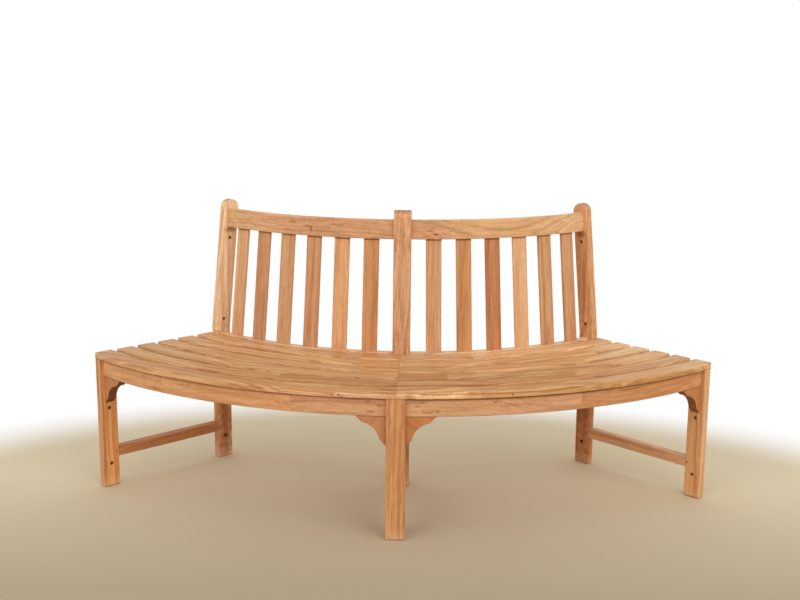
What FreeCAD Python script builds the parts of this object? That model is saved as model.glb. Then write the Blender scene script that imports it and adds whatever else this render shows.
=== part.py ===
import FreeCAD, Part
import math
import os

# A wooden tree bench: one quarter of a ring of seats that goes round a trunk.
# Two like halves meet at a centre frame. Sitters face outward, away from the ring's axis.
# Each piece is first placed about the ring's axis, with the centre frame towards -Y,
# and the finished bench is then moved so that its box stands centred on the origin.
# Lengths are in millimetres and angles in degrees.

# Ring and overall sizes
half_angle = 45.0
outer_radius = 1360.0
seat_depth = 440.0
seat_height = 440.0
post_top_height = 887.0
back_lean = 6.4
bend_above_seat = 15.0

# Legs and posts
leg_depth = 55.0
leg_width = 55.0
end_leg_width = 28.0
foot_chamfer = 3.0
leg_arris = 2.0
crown_rise = 24.0

# Seat slats
seat_slat_count = 6
seat_slat_width = 60.0
seat_slat_thickness = 20.0
seat_slat_arris = 4.0
seam_gap = 1.0
slat_to_post_gap = 1.0

# Rails under the seat
apron_height = 55.0
apron_thickness = 26.0
apron_set_back = 12.0
side_rail_height = 55.0
center_rail_width = 45.0
bearer_thickness = 28.0

# Rails of the back
back_rail_thickness = 28.0
back_rail_set_back = 13.0
lower_rail_height = 55.0
top_rail_height = 62.0
top_rail_upper_edge = 863.0
rail_arris = 3.0

# Back slats
back_slat_count = 6
back_slat_width = 49.0
back_slat_thickness = 11.0
back_slat_arris = 2.0
back_slat_housing = 12.0

# Stretchers near the floor
stretcher_height = 32.0
stretcher_thickness = 28.0
stretcher_bottom = 94.0

# Corner brackets
bracket_leg = 87.0
bracket_depth = 30.0
bracket_tip = 26.0
bracket_throat = 50.0

# Joints
tenon_thickness = 10.0
tenon_shoulder = 8.0
tenon_length = 18.0
tenon_wall = 4.0
fit = 0.2
peg_radius = 4.0
peg_from_shoulder = 7.0
dowel_radius = 4.0
dowel_reach = 14.0
slat_dowel_inset = 10.0
bearer_dowel_rise = 12.0
bracket_dowel_share = 0.7

# Screws that hold the seat slats from below
screw_radius = 2.0
screw_head_radius = 4.0
screw_head_height = 3.0
screw_grip = 20.0
screw_reach = 14.0
counterbore_radius = 5.0
center_screw_offset = 12.0

# Holes through the end frames, where bolts join one bench to the next
bolt_radius = 5.0
low_bolt_height = 75.0
front_bolt_height = 260.0
seat_bolt_height = 486.0
back_bolt_height = 760.0

# Sizes that follow from the ones above
slat_underside = seat_height - seat_slat_thickness
leg_back_radius = outer_radius - leg_depth
post_front_radius = outer_radius - seat_depth
post_back_radius = post_front_radius - leg_depth
bend_height = seat_height + bend_above_seat
apron_front_radius = outer_radius - apron_set_back
apron_back_radius = apron_front_radius - apron_thickness
apron_middle_radius = apron_front_radius - apron_thickness / 2
apron_bottom = slat_underside - apron_height
side_rail_bottom = slat_underside - side_rail_height
back_rail_front_radius = post_front_radius - back_rail_set_back
back_rail_back_radius = back_rail_front_radius - back_rail_thickness
back_rail_middle_radius = back_rail_front_radius - back_rail_thickness / 2
lower_rail_bottom = seat_height - lower_rail_height
leg_tenon_tip = apron_middle_radius - tenon_thickness / 2 - tenon_wall
post_tenon_tip = back_rail_middle_radius + tenon_thickness / 2 + tenon_wall
bracket_dowel_offset = bracket_leg * bracket_dowel_share
top_rail_lower_edge = top_rail_upper_edge - top_rail_height
stretcher_top = stretcher_bottom + stretcher_height
stretcher_middle = stretcher_bottom + stretcher_height / 2
side_rail_middle = side_rail_bottom + side_rail_height / 2
innermost_slat_radius = post_front_radius + slat_to_post_gap
slat_run = outer_radius - innermost_slat_radius
slat_pitch = (slat_run - seat_slat_width) / (seat_slat_count - 1)
reach_past = 2 * outer_radius

UP = FreeCAD.Vector(0, 0, 1)
ACROSS = FreeCAD.Vector(1, 0, 0)
OUTWARD = FreeCAD.Vector(0, -1, 0)
AXIS_FOOT = FreeCAD.Vector(0, 0, 0)


# Basic shapes

def block(across, radius, height):
    """A box in a frame's own directions: three (low, high) pairs."""
    corner = FreeCAD.Vector(across[0], -radius[1], height[0])
    return Part.makeBox(across[1] - across[0], radius[1] - radius[0], height[1] - height[0], corner)


def cylinder_across(radius, across, at_radius, at_height):
    """A round bar that runs along a frame's width."""
    start = FreeCAD.Vector(across[0], -at_radius, at_height)
    return Part.makeCylinder(radius, across[1] - across[0], start, ACROSS)


def cylinder_outward(radius, at_across, from_radius, to_radius, at_height):
    """A round bar that runs along a ring radius."""
    start = FreeCAD.Vector(at_across, -from_radius, at_height)
    return Part.makeCylinder(radius, to_radius - from_radius, start, OUTWARD)


def cylinder_up(radius, at_across, at_radius, height):
    """An upright round bar."""
    start = FreeCAD.Vector(at_across, -at_radius, height[0])
    return Part.makeCylinder(radius, height[1] - height[0], start, UP)


def about_ring(shape, angle):
    """Turn a shape about the ring's axis, from the centre frame towards the right end."""
    turned = shape.copy()
    turned.rotate(AXIS_FOOT, UP, angle)
    return turned


def leaned(shape):
    """Tip a shape inward about the line where the posts bend."""
    tipped = shape.copy()
    tipped.rotate(FreeCAD.Vector(0, -post_front_radius, bend_height), ACROSS, -back_lean)
    return tipped


def left_of(shape):
    """The left half's copy of a piece of the right half."""
    return shape.mirror(AXIS_FOOT, ACROSS)


def section(radius, height, arris):
    """A rectangle with rounded corners in the radius and height plane."""
    low_r, high_r = radius
    low_z, high_z = height
    corners = [(low_r, low_z, 1, 1), (high_r, low_z, -1, 1)]
    corners += [(high_r, high_z, -1, -1), (low_r, high_z, 1, -1)]
    cut = arris * (1 - math.sqrt(0.5))
    edges = []
    points = []
    for r, z, inward_r, inward_z in corners:
        along_r = FreeCAD.Vector(0, -(r + inward_r * arris), z)
        along_z = FreeCAD.Vector(0, -r, z + inward_z * arris)
        middle = FreeCAD.Vector(0, -(r + inward_r * cut), z + inward_z * cut)
        first, last = (along_z, along_r) if inward_r == inward_z else (along_r, along_z)
        points.append((first, middle, last))
    for index, (first, middle, last) in enumerate(points):
        following = points[(index + 1) % len(points)][0]
        edges.append(Part.Arc(first, middle, last).toShape())
        edges.append(Part.LineSegment(last, following).toShape())
    return Part.Face(Part.Wire(edges))


def ring_bar(face):
    """A section swept round the right half of the ring."""
    return face.revolve(AXIS_FOOT, UP, half_angle)


def right_half_between(shape, center_offset, end_offset):
    """Trim a ring bar to the faces of the centre frame and of the right end frame."""
    far = (0, reach_past)
    tall = (0, reach_past)
    beside_center = block((center_offset, reach_past), far, tall)
    beside_end = about_ring(block((-reach_past, -end_offset), far, tall), half_angle)
    return shape.common(beside_center).common(beside_end)


# What the joints share

def grown(span, by):
    """A (low, high) pair made wider at both ends."""
    return (span[0] - by, span[1] + by)


def centered(middle, size):
    """A (low, high) pair of a size about its middle."""
    return (middle - size / 2, middle + size / 2)


def apron_tenon_height():
    return (apron_bottom + tenon_shoulder, slat_underside - tenon_shoulder)


def lower_rail_tenon_height():
    return (lower_rail_bottom + tenon_shoulder, seat_height - tenon_shoulder)


def top_rail_tenon_height():
    return (top_rail_lower_edge + tenon_shoulder, top_rail_upper_edge - tenon_shoulder)


def inner_faces():
    """The tenons that enter a centre frame's right face and an end frame's inner face."""
    center = (leg_width / 2 - tenon_length, leg_width / 2)
    end = (-end_leg_width, -end_leg_width + tenon_length)
    return center, end


def cross_tenons(radius, height, grow=0.0, root=0.0):
    """The centre and end tenons of one curved rail, before the end one is turned into place."""
    center, end = inner_faces()
    center_span = (center[0] - grow, center[1] + root)
    end_span = (end[0] - root, end[1] + grow)
    wide = centered(radius, tenon_thickness + 2 * grow)
    tall = grown(height, grow)
    return block(center_span, wide, tall), block(end_span, wide, tall)


def seat_frame_middles():
    """Where the screws lie across the centre rail, the end rail and the bearer."""
    return center_screw_offset, -end_leg_width / 2, 0.0


def slat_radii(index):
    """The inner and outer radius of one seat slat, counted from the front."""
    outer = outer_radius - index * slat_pitch
    return outer - seat_slat_width, outer


# Legs, posts and the rails that join them into a frame

def eased_block(across, depth, top):
    """An upright square timber with a chamfered foot and eased long edges."""
    timber = block(across, depth, (0, top))
    foot = [edge for edge in timber.Edges if edge.BoundBox.ZMax < foot_chamfer]
    timber = timber.makeChamfer(foot_chamfer, foot)
    upright = [edge for edge in timber.Edges if edge.BoundBox.ZLength > top / 2]
    return timber.makeFillet(leg_arris, upright)


def frame_rail_tenons(across, height, grow=0.0):
    """The tenons of a frame's rail as one bar, or, grown, the mortises that take them."""
    wide = centered((across[0] + across[1]) / 2, tenon_thickness + 2 * grow)
    tall = (height[0] + tenon_shoulder - grow, height[1] - tenon_shoulder + grow)
    return block(wide, (post_tenon_tip - grow, leg_tenon_tip + grow), tall)


def frame_pegs(across, height, grow=0.0):
    """The two pegs that lock a rail at one height in its legs, or, grown, the holes for them."""
    at_leg = leg_back_radius + peg_from_shoulder
    at_post = post_front_radius - peg_from_shoulder
    return [cylinder_across(peg_radius + grow, across, radius, height) for radius in (at_leg, at_post)]


def frame_cuts(across):
    """The mortises and peg holes that a leg or post shares with its side rail and stretcher."""
    cuts = [frame_rail_tenons(across, (stretcher_bottom, stretcher_top), fit)]
    cuts.append(frame_rail_tenons(across, (side_rail_bottom, slat_underside), fit))
    for height in (stretcher_middle, side_rail_middle):
        cuts += frame_pegs(across, height, fit / 2)
    return cuts


def front_slat_dowel_places():
    """Angle, across and radius of the dowels under a front slat: centre leg, apron, end leg."""
    center, end, middle = seat_frame_middles()
    in_leg = outer_radius - slat_dowel_inset
    return [(0, center, in_leg), (half_angle / 2, middle, apron_middle_radius), (half_angle, end, in_leg)]


def front_slat_dowel(place, grow=0.0):
    """One dowel, half in the slat, or, grown, the hole for it."""
    angle, across, radius = place
    span = grown((slat_underside - dowel_reach, slat_underside + dowel_reach), grow)
    return about_ring(cylinder_up(dowel_radius + grow / 2, across, radius, span), angle)


def front_leg(across, is_center):
    """A square front leg, its top under the front slat."""
    leg = eased_block(across, (leg_back_radius, outer_radius), slat_underside)
    cuts = frame_cuts(across)
    at_center, at_end = cross_tenons(apron_middle_radius, apron_tenon_height(), fit, fit)
    slat_dowels = [place[1:] for place in front_slat_dowel_places()]
    bracket_places = [place[2] for place in bracket_dowels() if place[0] == "across"]
    if is_center:
        upright = front_slat_dowel((0,) + slat_dowels[0], fit)
        level = bracket_dowel(("across", 0, bracket_places[0]), fit)
        side = [at_center, upright, level]
        cuts += side + [left_of(piece) for piece in side]
    else:
        cuts.append(at_end)
        cuts.append(front_slat_dowel((0,) + slat_dowels[2], fit))
        cuts.append(bracket_dowel(("across", 0, bracket_places[1]), fit))
        for height in (low_bolt_height, front_bolt_height):
            middle = (leg_back_radius + outer_radius) / 2
            cuts.append(cylinder_across(bolt_radius, grown(across, fit), middle, height))
    return leg.cut(cuts)


def post_outline():
    """The side view of a post: upright to the seat, leaning above it, with a round crown."""
    tan_half = math.tan(math.radians(back_lean / 2))
    lean_sin = math.sin(math.radians(back_lean))
    lean_cos = math.cos(math.radians(back_lean))
    rise = (post_top_height - bend_height + leg_depth / 2 * lean_sin) / lean_cos

    def upper(depth, height):
        radius = post_front_radius - depth * lean_cos - height * lean_sin
        return FreeCAD.Vector(0, -radius, bend_height + height * lean_cos - depth * lean_sin)

    front_shoulder = upper(0, rise - crown_rise)
    crest = upper(leg_depth / 2, rise)
    back_shoulder = upper(leg_depth, rise - crown_rise)
    front_foot = FreeCAD.Vector(0, -post_front_radius, 0)
    front_bend = FreeCAD.Vector(0, -post_front_radius, bend_height)
    back_bend = FreeCAD.Vector(0, -post_back_radius, bend_height - leg_depth * tan_half)
    back_foot = FreeCAD.Vector(0, -post_back_radius, 0)
    edges = [Part.LineSegment(front_foot, front_bend).toShape()]
    edges.append(Part.LineSegment(front_bend, front_shoulder).toShape())
    edges.append(Part.Arc(front_shoulder, crest, back_shoulder).toShape())
    edges.append(Part.LineSegment(back_shoulder, back_bend).toShape())
    edges.append(Part.LineSegment(back_bend, back_foot).toShape())
    edges.append(Part.LineSegment(back_foot, front_foot).toShape())
    return Part.Face(Part.Wire(edges))


def post_middle_radius(height):
    """The middle of a post's depth at a height above the bend."""
    lean = math.radians(back_lean)
    front = post_front_radius - (height - bend_height) * math.tan(lean)
    return front - leg_depth / 2 / math.cos(lean)


def back_post(across, is_center):
    """A rear leg that goes on up as a back post."""
    outline = post_outline()
    outline.translate(FreeCAD.Vector(across[0], 0, 0))
    post = outline.extrude(ACROSS * (across[1] - across[0]))
    foot = [edge for edge in post.Edges if edge.BoundBox.ZMax < foot_chamfer]
    post = post.makeChamfer(foot_chamfer, foot)
    cuts = frame_cuts(across)
    low = cross_tenons(back_rail_middle_radius, lower_rail_tenon_height(), fit, fit)
    upright = cross_tenons(back_rail_middle_radius, top_rail_tenon_height(), fit, fit)
    high = [leaned(piece) for piece in upright]
    pegs = [rail_peg(place, fit / 2) for place in rail_peg_places(is_center)]
    if is_center:
        side = [low[0], high[0]] + pegs
        cuts += side + [left_of(piece) for piece in side]
    else:
        cuts += [low[1], high[1]] + pegs
        middle = (post_back_radius + post_front_radius) / 2
        cuts.append(cylinder_across(bolt_radius, grown(across, fit), middle, low_bolt_height))
        for height in (seat_bolt_height, back_bolt_height):
            cuts.append(cylinder_across(bolt_radius, grown(across, fit), post_middle_radius(height), height))
    return post.cut(cuts)


def rail_peg_places(is_center):
    """Across, height and leaning or not, for the pegs that lock the rails' tenons from behind."""
    if is_center:
        across = leg_width / 2 - tenon_length / 2
    else:
        across = -end_leg_width + tenon_length / 2
    lower = (across, (lower_rail_bottom + seat_height) / 2, False)
    upper = (across, (top_rail_lower_edge + top_rail_upper_edge) / 2, True)
    return [lower, upper]


def rail_peg(place, grow=0.0):
    """One peg, from a post's back face to just past the rail's tenon."""
    across, height, leaning = place
    tip = back_rail_middle_radius + tenon_thickness / 2 + fit + grow
    peg = cylinder_outward(peg_radius + grow, across, post_back_radius, tip, height)
    return leaned(peg) if leaning else peg


def frame_rail(across, thickness, height):
    """A straight rail between the front leg and the rear post, tenoned at both ends."""
    middle = (across[0] + across[1]) / 2
    rail = block(centered(middle, thickness), (post_front_radius, leg_back_radius), height)
    return rail.fuse(frame_rail_tenons(across, height)).removeSplitter()


def stretcher(across):
    """The low rail of a frame, with its peg holes."""
    thickness = min(stretcher_thickness, across[1] - across[0])
    rail = frame_rail(across, thickness, (stretcher_bottom, stretcher_top))
    return rail.cut(frame_pegs(across, stretcher_middle, fit / 2))


def slat_screw_cuts(across):
    """The clearance holes and counterbores for the screws of one rail, slat by slat."""
    shoulder = slat_underside - screw_grip
    cuts = []
    for index in range(1, seat_slat_count):
        radius = sum(slat_radii(index)) / 2
        cuts.append(cylinder_up(screw_radius + fit, across, radius, (shoulder - fit, slat_underside + fit)))
        below = (side_rail_bottom - fit, shoulder)
        cuts.append(cylinder_up(counterbore_radius, across, radius, below))
    return cuts


def seat_side_rail(across, is_center):
    """The rail at the top of a frame, which carries the slats' ends."""
    thickness = center_rail_width if is_center else end_leg_width
    rail = frame_rail(across, thickness, (side_rail_bottom, slat_underside))
    pegs = frame_pegs(across, side_rail_middle, fit / 2)
    center, end, _ = seat_frame_middles()
    if is_center:
        screws = slat_screw_cuts(center) + slat_screw_cuts(-center)
    else:
        screws = slat_screw_cuts(end)
    return rail.cut(pegs + screws)


# Curved rails of one half

def curved_rail(face, tenons):
    """A ring bar between two frames, with a straight tenon at each end."""
    bar = right_half_between(ring_bar(face), leg_width / 2, end_leg_width)
    at_center, at_end = tenons
    return bar.fuse([at_center, about_ring(at_end, half_angle)]).removeSplitter()


def bearer_dowels(grow=0.0):
    """The dowels at the two ends of a bearer, or, grown, the holes for them."""
    height = max(side_rail_bottom, lower_rail_bottom) + bearer_dowel_rise
    dowels = []
    for radius in (apron_back_radius, back_rail_front_radius):
        low, high = grown((radius - dowel_reach, radius + dowel_reach), grow)
        bar = cylinder_outward(dowel_radius + grow / 2, 0, low, high, height)
        dowels.append(about_ring(bar, half_angle / 2))
    return dowels


def front_apron():
    """The curved board under the front slat."""
    face = section((apron_back_radius, apron_front_radius), (apron_bottom, slat_underside), rail_arris)
    tenons = cross_tenons(apron_middle_radius, apron_tenon_height(), root=tenon_shoulder)
    rail = curved_rail(face, tenons)
    cuts = bearer_dowels(fit)
    cuts += [bracket_dowel(place, fit) for place in bracket_dowels() if place[0] == "up"]
    cuts.append(front_slat_dowel(front_slat_dowel_places()[1], fit))
    return rail.cut(cuts)


def lower_back_rail():
    """The curved rail at seat level that holds the feet of the back slats."""
    deep = (back_rail_back_radius, back_rail_front_radius)
    face = section(deep, (lower_rail_bottom, seat_height), rail_arris)
    tenons = cross_tenons(back_rail_middle_radius, lower_rail_tenon_height(), root=tenon_shoulder)
    rail = curved_rail(face, tenons)
    housings = [back_slat_blank(angle, fit) for angle in back_slat_angles()]
    return rail.cut(rail_peg_cuts(0) + housings + bearer_dowels(fit))


def top_rail():
    """The curved rail at the top of the back, tipped with the posts."""
    deep = (back_rail_back_radius, back_rail_front_radius)
    face = section(deep, (top_rail_lower_edge, top_rail_upper_edge), rail_arris)
    upright = cross_tenons(back_rail_middle_radius, top_rail_tenon_height(), root=tenon_shoulder)
    rail = curved_rail(leaned(face), [leaned(piece) for piece in upright])
    housings = [back_slat_blank(angle, fit) for angle in back_slat_angles()]
    return rail.cut(rail_peg_cuts(1) + housings)


def rail_peg_cuts(which):
    """The two peg holes of a back rail's tenons: 0 for the lower rail, 1 for the top one."""
    at_center = rail_peg(rail_peg_places(True)[which], fit / 2)
    at_end = about_ring(rail_peg(rail_peg_places(False)[which], fit / 2), half_angle)
    return [at_center, at_end]


# Slats

def seat_slat(index):
    """One curved seat slat of the right half, counted from the front."""
    face = section(slat_radii(index), (slat_underside, seat_height), seat_slat_arris)
    slat = right_half_between(ring_bar(face), seam_gap / 2, 0)
    return slat.cut(slat_fixing_cuts(index))


def slat_fixing_cuts(index):
    """The holes in a slat's underside: dowels in the front slat, screws in the others."""
    if index == 0:
        return [front_slat_dowel(place, fit) for place in front_slat_dowel_places()]
    center, end, middle = seat_frame_middles()
    radius = sum(slat_radii(index)) / 2
    span = (slat_underside - fit, slat_underside + screw_reach + fit)
    cuts = []
    for angle, across in ((0, center), (half_angle / 2, middle), (half_angle, end)):
        cuts.append(about_ring(cylinder_up(screw_radius + fit / 2, across, radius, span), angle))
    return cuts


def back_slat_angles():
    """The angles of the back slats, with even gaps from post to post."""
    radius = back_rail_middle_radius
    first = math.degrees(math.asin(leg_width / 2 / radius))
    last = half_angle - math.degrees(math.asin(end_leg_width / radius))
    wide = math.degrees(back_slat_width / radius)
    gap = (last - first - back_slat_count * wide) / (back_slat_count + 1)
    return [first + gap + wide / 2 + index * (wide + gap) for index in range(back_slat_count)]


def back_slat_blank(angle, grow=0.0):
    """A back slat as a plain leaning board, or, grown, the housing that it sits in."""
    bottom = seat_height - back_slat_housing + back_rail_thickness * math.sin(math.radians(back_lean))
    height = grown((bottom, top_rail_lower_edge + back_slat_housing), grow)
    across = grown(centered(0, back_slat_width), grow)
    deep = grown(centered(back_rail_middle_radius, back_slat_thickness), grow)
    return about_ring(leaned(block(across, deep, height)), angle)


def back_slat(angle):
    """One back slat with eased long edges."""
    board = back_slat_blank(angle)
    long_edges = [edge for edge in board.Edges if edge.Length > 2 * back_slat_width]
    return board.makeFillet(back_slat_arris, long_edges)


# Bearer and brackets

def seat_bearer():
    """The square-ended rail under the middle of a half, from the apron to the lower back rail."""
    across = centered(0, bearer_thickness)
    front = math.sqrt(apron_back_radius ** 2 - (bearer_thickness / 2) ** 2) - fit
    bearer = block(across, (back_rail_front_radius + fit, front), (side_rail_bottom, slat_underside))
    return about_ring(bearer.cut(slat_screw_cuts(0)), half_angle / 2).cut(bearer_dowels(fit))


def bracket_outline():
    """A bracket seen from the front, its square corner at the origin, its legs along +X and -Z."""
    tip = bracket_tip * math.sqrt(0.5)
    throat = bracket_throat * math.sqrt(0.5)
    corner = FreeCAD.Vector(0, 0, 0)
    along = FreeCAD.Vector(bracket_leg, 0, 0)
    along_tip = FreeCAD.Vector(bracket_leg - tip, 0, -tip)
    down = FreeCAD.Vector(0, 0, -bracket_leg)
    down_tip = FreeCAD.Vector(tip, 0, -(bracket_leg - tip))
    deepest = FreeCAD.Vector(throat, 0, -throat)
    edges = [Part.LineSegment(corner, along).toShape()]
    edges.append(Part.LineSegment(along, along_tip).toShape())
    edges.append(Part.Arc(along_tip, deepest, down_tip).toShape())
    edges.append(Part.LineSegment(down_tip, down).toShape())
    edges.append(Part.LineSegment(down, corner).toShape())
    return Part.Face(Part.Wire(edges))


def bracket_at_center():
    """The bracket to the right of the centre leg."""
    face = bracket_outline()
    face.translate(FreeCAD.Vector(leg_width / 2, 0, apron_bottom))
    slab = face.extrude(OUTWARD * reach_past)
    places = bracket_dowels()[:2]
    return slab.common(bracket_ring()).cut([bracket_dowel(place, fit) for place in places])


def bracket_at_end():
    """The bracket inside the right end leg."""
    face = bracket_outline().mirror(AXIS_FOOT, ACROSS)
    face.translate(FreeCAD.Vector(-end_leg_width, 0, apron_bottom))
    slab = about_ring(face.extrude(OUTWARD * reach_past), half_angle)
    places = bracket_dowels()[2:]
    return slab.common(bracket_ring()).cut([bracket_dowel(place, fit) for place in places])


def bracket_ring():
    """The ring that a bracket is cut from, its front flush with the apron."""
    outer = Part.makeCylinder(apron_front_radius, reach_past)
    return outer.cut(Part.makeCylinder(apron_front_radius - bracket_depth, reach_past))


def bracket_dowel_angles():
    """The angles of the upright dowels between the brackets and the apron."""
    beside_center = leg_width / 2 + bracket_dowel_offset
    beside_end = end_leg_width + bracket_dowel_offset
    at_center = math.degrees(math.asin(beside_center / apron_middle_radius))
    at_end = half_angle - math.degrees(math.asin(beside_end / apron_middle_radius))
    return [at_center, at_end]


def bracket_dowels():
    """Each dowel of the right half's brackets: kind, angle about the ring, across and height."""
    at_center, at_end = bracket_dowel_angles()
    below = apron_bottom - bracket_dowel_offset
    return [("up", at_center, (0, apron_bottom)),
            ("across", 0, (leg_width / 2, below)),
            ("up", at_end, (0, apron_bottom)),
            ("across", half_angle, (-end_leg_width, below))]


def bracket_dowel(place, grow=0.0):
    """One dowel between a bracket and the apron above it or the leg beside it, or its hole."""
    kind, angle, (across, height) = place
    if kind == "up":
        span = grown((height - dowel_reach, height + dowel_reach), grow)
        bar = cylinder_up(dowel_radius + grow / 2, across, apron_middle_radius, span)
    else:
        span = grown((across - dowel_reach, across + dowel_reach), grow)
        bar = cylinder_across(dowel_radius + grow / 2, span, apron_middle_radius, height)
    return about_ring(bar, angle)


# Pegs, dowels and screws

def both_sides(pieces):
    """Pieces of the right half with their copies on the left."""
    return pieces + [left_of(piece) for piece in pieces]


def all_frame_pegs():
    """The pegs of the three frames' rails and stretchers, flush with both faces."""
    center = []
    end = []
    for height in (stretcher_middle, side_rail_middle):
        center += frame_pegs(centered(0, leg_width), height)
        end += frame_pegs((-end_leg_width, 0), height)
    return center + both_sides([about_ring(peg, half_angle) for peg in end])


def all_rail_pegs():
    """The pegs that lock the top and lower back rails in the posts."""
    center = [rail_peg(place) for place in rail_peg_places(True)]
    end = [about_ring(rail_peg(place), half_angle) for place in rail_peg_places(False)]
    return both_sides(center + end)


def all_dowels():
    """The dowels of the front slats, the bearers and the brackets, by node name."""
    slats = [front_slat_dowel(place) for place in front_slat_dowel_places()]
    brackets = [bracket_dowel(place) for place in bracket_dowels()]
    return {"front_slat_dowels": both_sides(slats),
            "bearer_dowels": both_sides(bearer_dowels()),
            "bracket_dowels": both_sides(brackets)}


def slat_screw(across, radius):
    """One screw, head down in its counterbore, its tip in the slat."""
    shoulder = slat_underside - screw_grip
    head = cylinder_up(screw_head_radius, across, radius, (shoulder - screw_head_height, shoulder))
    shank = cylinder_up(screw_radius, across, radius, (shoulder, slat_underside + screw_reach))
    return head.fuse(shank).removeSplitter()


def slat_screws():
    """The screws under every slat but the front one, in the rails and the bearers."""
    center, end, middle = seat_frame_middles()
    pieces = []
    for index in range(1, seat_slat_count):
        radius = sum(slat_radii(index)) / 2
        pieces.append(slat_screw(center, radius))
        pieces.append(about_ring(slat_screw(middle, radius), half_angle / 2))
        pieces.append(about_ring(slat_screw(end, radius), half_angle))
    return both_sides(pieces)


# The whole bench

def pair(nodes, name, shape):
    """Add a piece of the right half and its left copy under one name."""
    nodes[name.format(side="right")] = shape
    nodes[name.format(side="left")] = left_of(shape)


def build_nodes():
    """Every piece by name, still placed about the ring's axis."""
    nodes = {}
    center = centered(0, leg_width)
    end = (-end_leg_width, 0)
    nodes["front_leg_center"] = front_leg(center, True)
    nodes["back_post_center"] = back_post(center, True)
    nodes["stretcher_center"] = stretcher(center)
    nodes["seat_rail_center"] = seat_side_rail(center, True)
    pair(nodes, "front_leg_{side}", about_ring(front_leg(end, False), half_angle))
    pair(nodes, "back_post_{side}", about_ring(back_post(end, False), half_angle))
    pair(nodes, "stretcher_{side}", about_ring(stretcher(end), half_angle))
    pair(nodes, "seat_rail_{side}", about_ring(seat_side_rail(end, False), half_angle))
    pair(nodes, "front_apron_{side}", front_apron())
    pair(nodes, "lower_back_rail_{side}", lower_back_rail())
    pair(nodes, "top_rail_{side}", top_rail())
    pair(nodes, "seat_bearer_{side}", seat_bearer())
    pair(nodes, "inner_bracket_{side}", bracket_at_center())
    pair(nodes, "outer_bracket_{side}", bracket_at_end())
    for index in range(seat_slat_count):
        pair(nodes, "seat_slat_{side}_" + str(index + 1), seat_slat(index))
    for index, angle in enumerate(back_slat_angles()):
        pair(nodes, "back_slat_{side}_" + str(index + 1), back_slat(angle))
    nodes["frame_pegs"] = Part.makeCompound(all_frame_pegs())
    nodes["rail_pegs"] = Part.makeCompound(all_rail_pegs())
    for name, dowels in all_dowels().items():
        nodes[name] = Part.makeCompound(dowels)
    nodes["slat_screws"] = Part.makeCompound(slat_screws())
    return nodes


def move_to_origin(nodes):
    """Stand the bench on the floor with its box centred on the origin."""
    box = Part.makeCompound(list(nodes.values())).optimalBoundingBox(False)
    shift = FreeCAD.Vector(-box.Center.x, -box.Center.y, -box.ZMin)
    for shape in nodes.values():
        shape.translate(shift)
    print("ring axis at y =", round(shift.y, 3), "size", round(box.XLength, 1), round(box.YLength, 1),
          round(box.ZLength, 1))


os.makedirs("parts", exist_ok=True)
pieces = build_nodes()
move_to_origin(pieces)
for name, shape in pieces.items():
    shape.exportStep(os.path.join("parts", name + ".step"))
    print(name, len(shape.Solids), shape.isValid(), round(shape.Volume / 1000, 1))
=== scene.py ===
import math
import random
import bpy
import bmesh
from mathutils import Matrix, Vector


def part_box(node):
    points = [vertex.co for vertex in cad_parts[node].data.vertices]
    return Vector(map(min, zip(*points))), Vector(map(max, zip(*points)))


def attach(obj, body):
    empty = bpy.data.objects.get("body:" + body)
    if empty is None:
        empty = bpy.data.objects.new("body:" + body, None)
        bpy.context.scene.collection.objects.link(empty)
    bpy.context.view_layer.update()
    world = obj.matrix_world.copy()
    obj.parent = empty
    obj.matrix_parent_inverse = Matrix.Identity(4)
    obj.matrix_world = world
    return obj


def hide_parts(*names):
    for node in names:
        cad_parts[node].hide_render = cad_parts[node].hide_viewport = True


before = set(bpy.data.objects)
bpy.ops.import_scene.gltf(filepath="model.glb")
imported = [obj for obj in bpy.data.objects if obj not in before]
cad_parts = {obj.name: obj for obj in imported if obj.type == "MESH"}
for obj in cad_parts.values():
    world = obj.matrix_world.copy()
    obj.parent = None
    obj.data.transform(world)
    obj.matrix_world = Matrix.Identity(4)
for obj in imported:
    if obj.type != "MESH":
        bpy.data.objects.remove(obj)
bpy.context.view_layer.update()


# The camera stands in front of the bench, a little to its right, at about chest height, and
# looks slightly down. Its place and its lens come from the bench's own edges.
camera_place = (0.11341, -3.59370, 1.35813)
camera_turn = 0.03238
camera_dip = -0.20141
camera_roll = 0.00819
camera_lens = 53.585

camera_data = bpy.data.cameras.new("camera")
camera_data.sensor_fit = "HORIZONTAL"
camera_data.sensor_width = 36.0
camera_data.lens = camera_lens
camera_data.clip_end = 60.0
camera = bpy.data.objects.new("camera", camera_data)
bpy.context.scene.collection.objects.link(camera)
bpy.context.scene.camera = camera
camera.matrix_world = (Matrix.Translation(camera_place) @ Matrix.Rotation(camera_turn, 4, "Z")
                       @ Matrix.Rotation(math.pi / 2 + camera_dip, 4, "X")
                       @ Matrix.Rotation(camera_roll, 4, "Z"))


# The floor is pale, and painted light makes its colour paler towards the back, under and behind the
# bench, which lightens the bench's shadow there. Near the bench it keeps the bench's shadow, and
# further off it goes over into white.
floor_reach = 9.0
floor_spot_middle = (0.0, -0.45, 0.0)
floor_spot_stretch = (1.3, 1.0, 1.0)
floor_plain_radius = 1.22
floor_white_radius = 1.60
floor_near_y = -0.75
floor_far_y = 0.10
floor_roughness = 0.8


def shade(red, green, blue):
    """A colour given as 0 to 255 on a screen, as the linear values that a shader takes."""
    def linear(value):
        share = value / 255
        return share / 12.92 if share <= 0.04045 else ((share + 0.055) / 1.055) ** 2.4
    return (linear(red), linear(green), linear(blue), 1.0)


def feed(node, sockets):
    """Give a node's sockets, by name or number, a constant or another node's output."""
    for socket, value in sockets.items():
        if isinstance(value, bpy.types.NodeSocket):
            node.id_data.links.new(value, node.inputs[socket])
        else:
            node.inputs[socket].default_value = value


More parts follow.
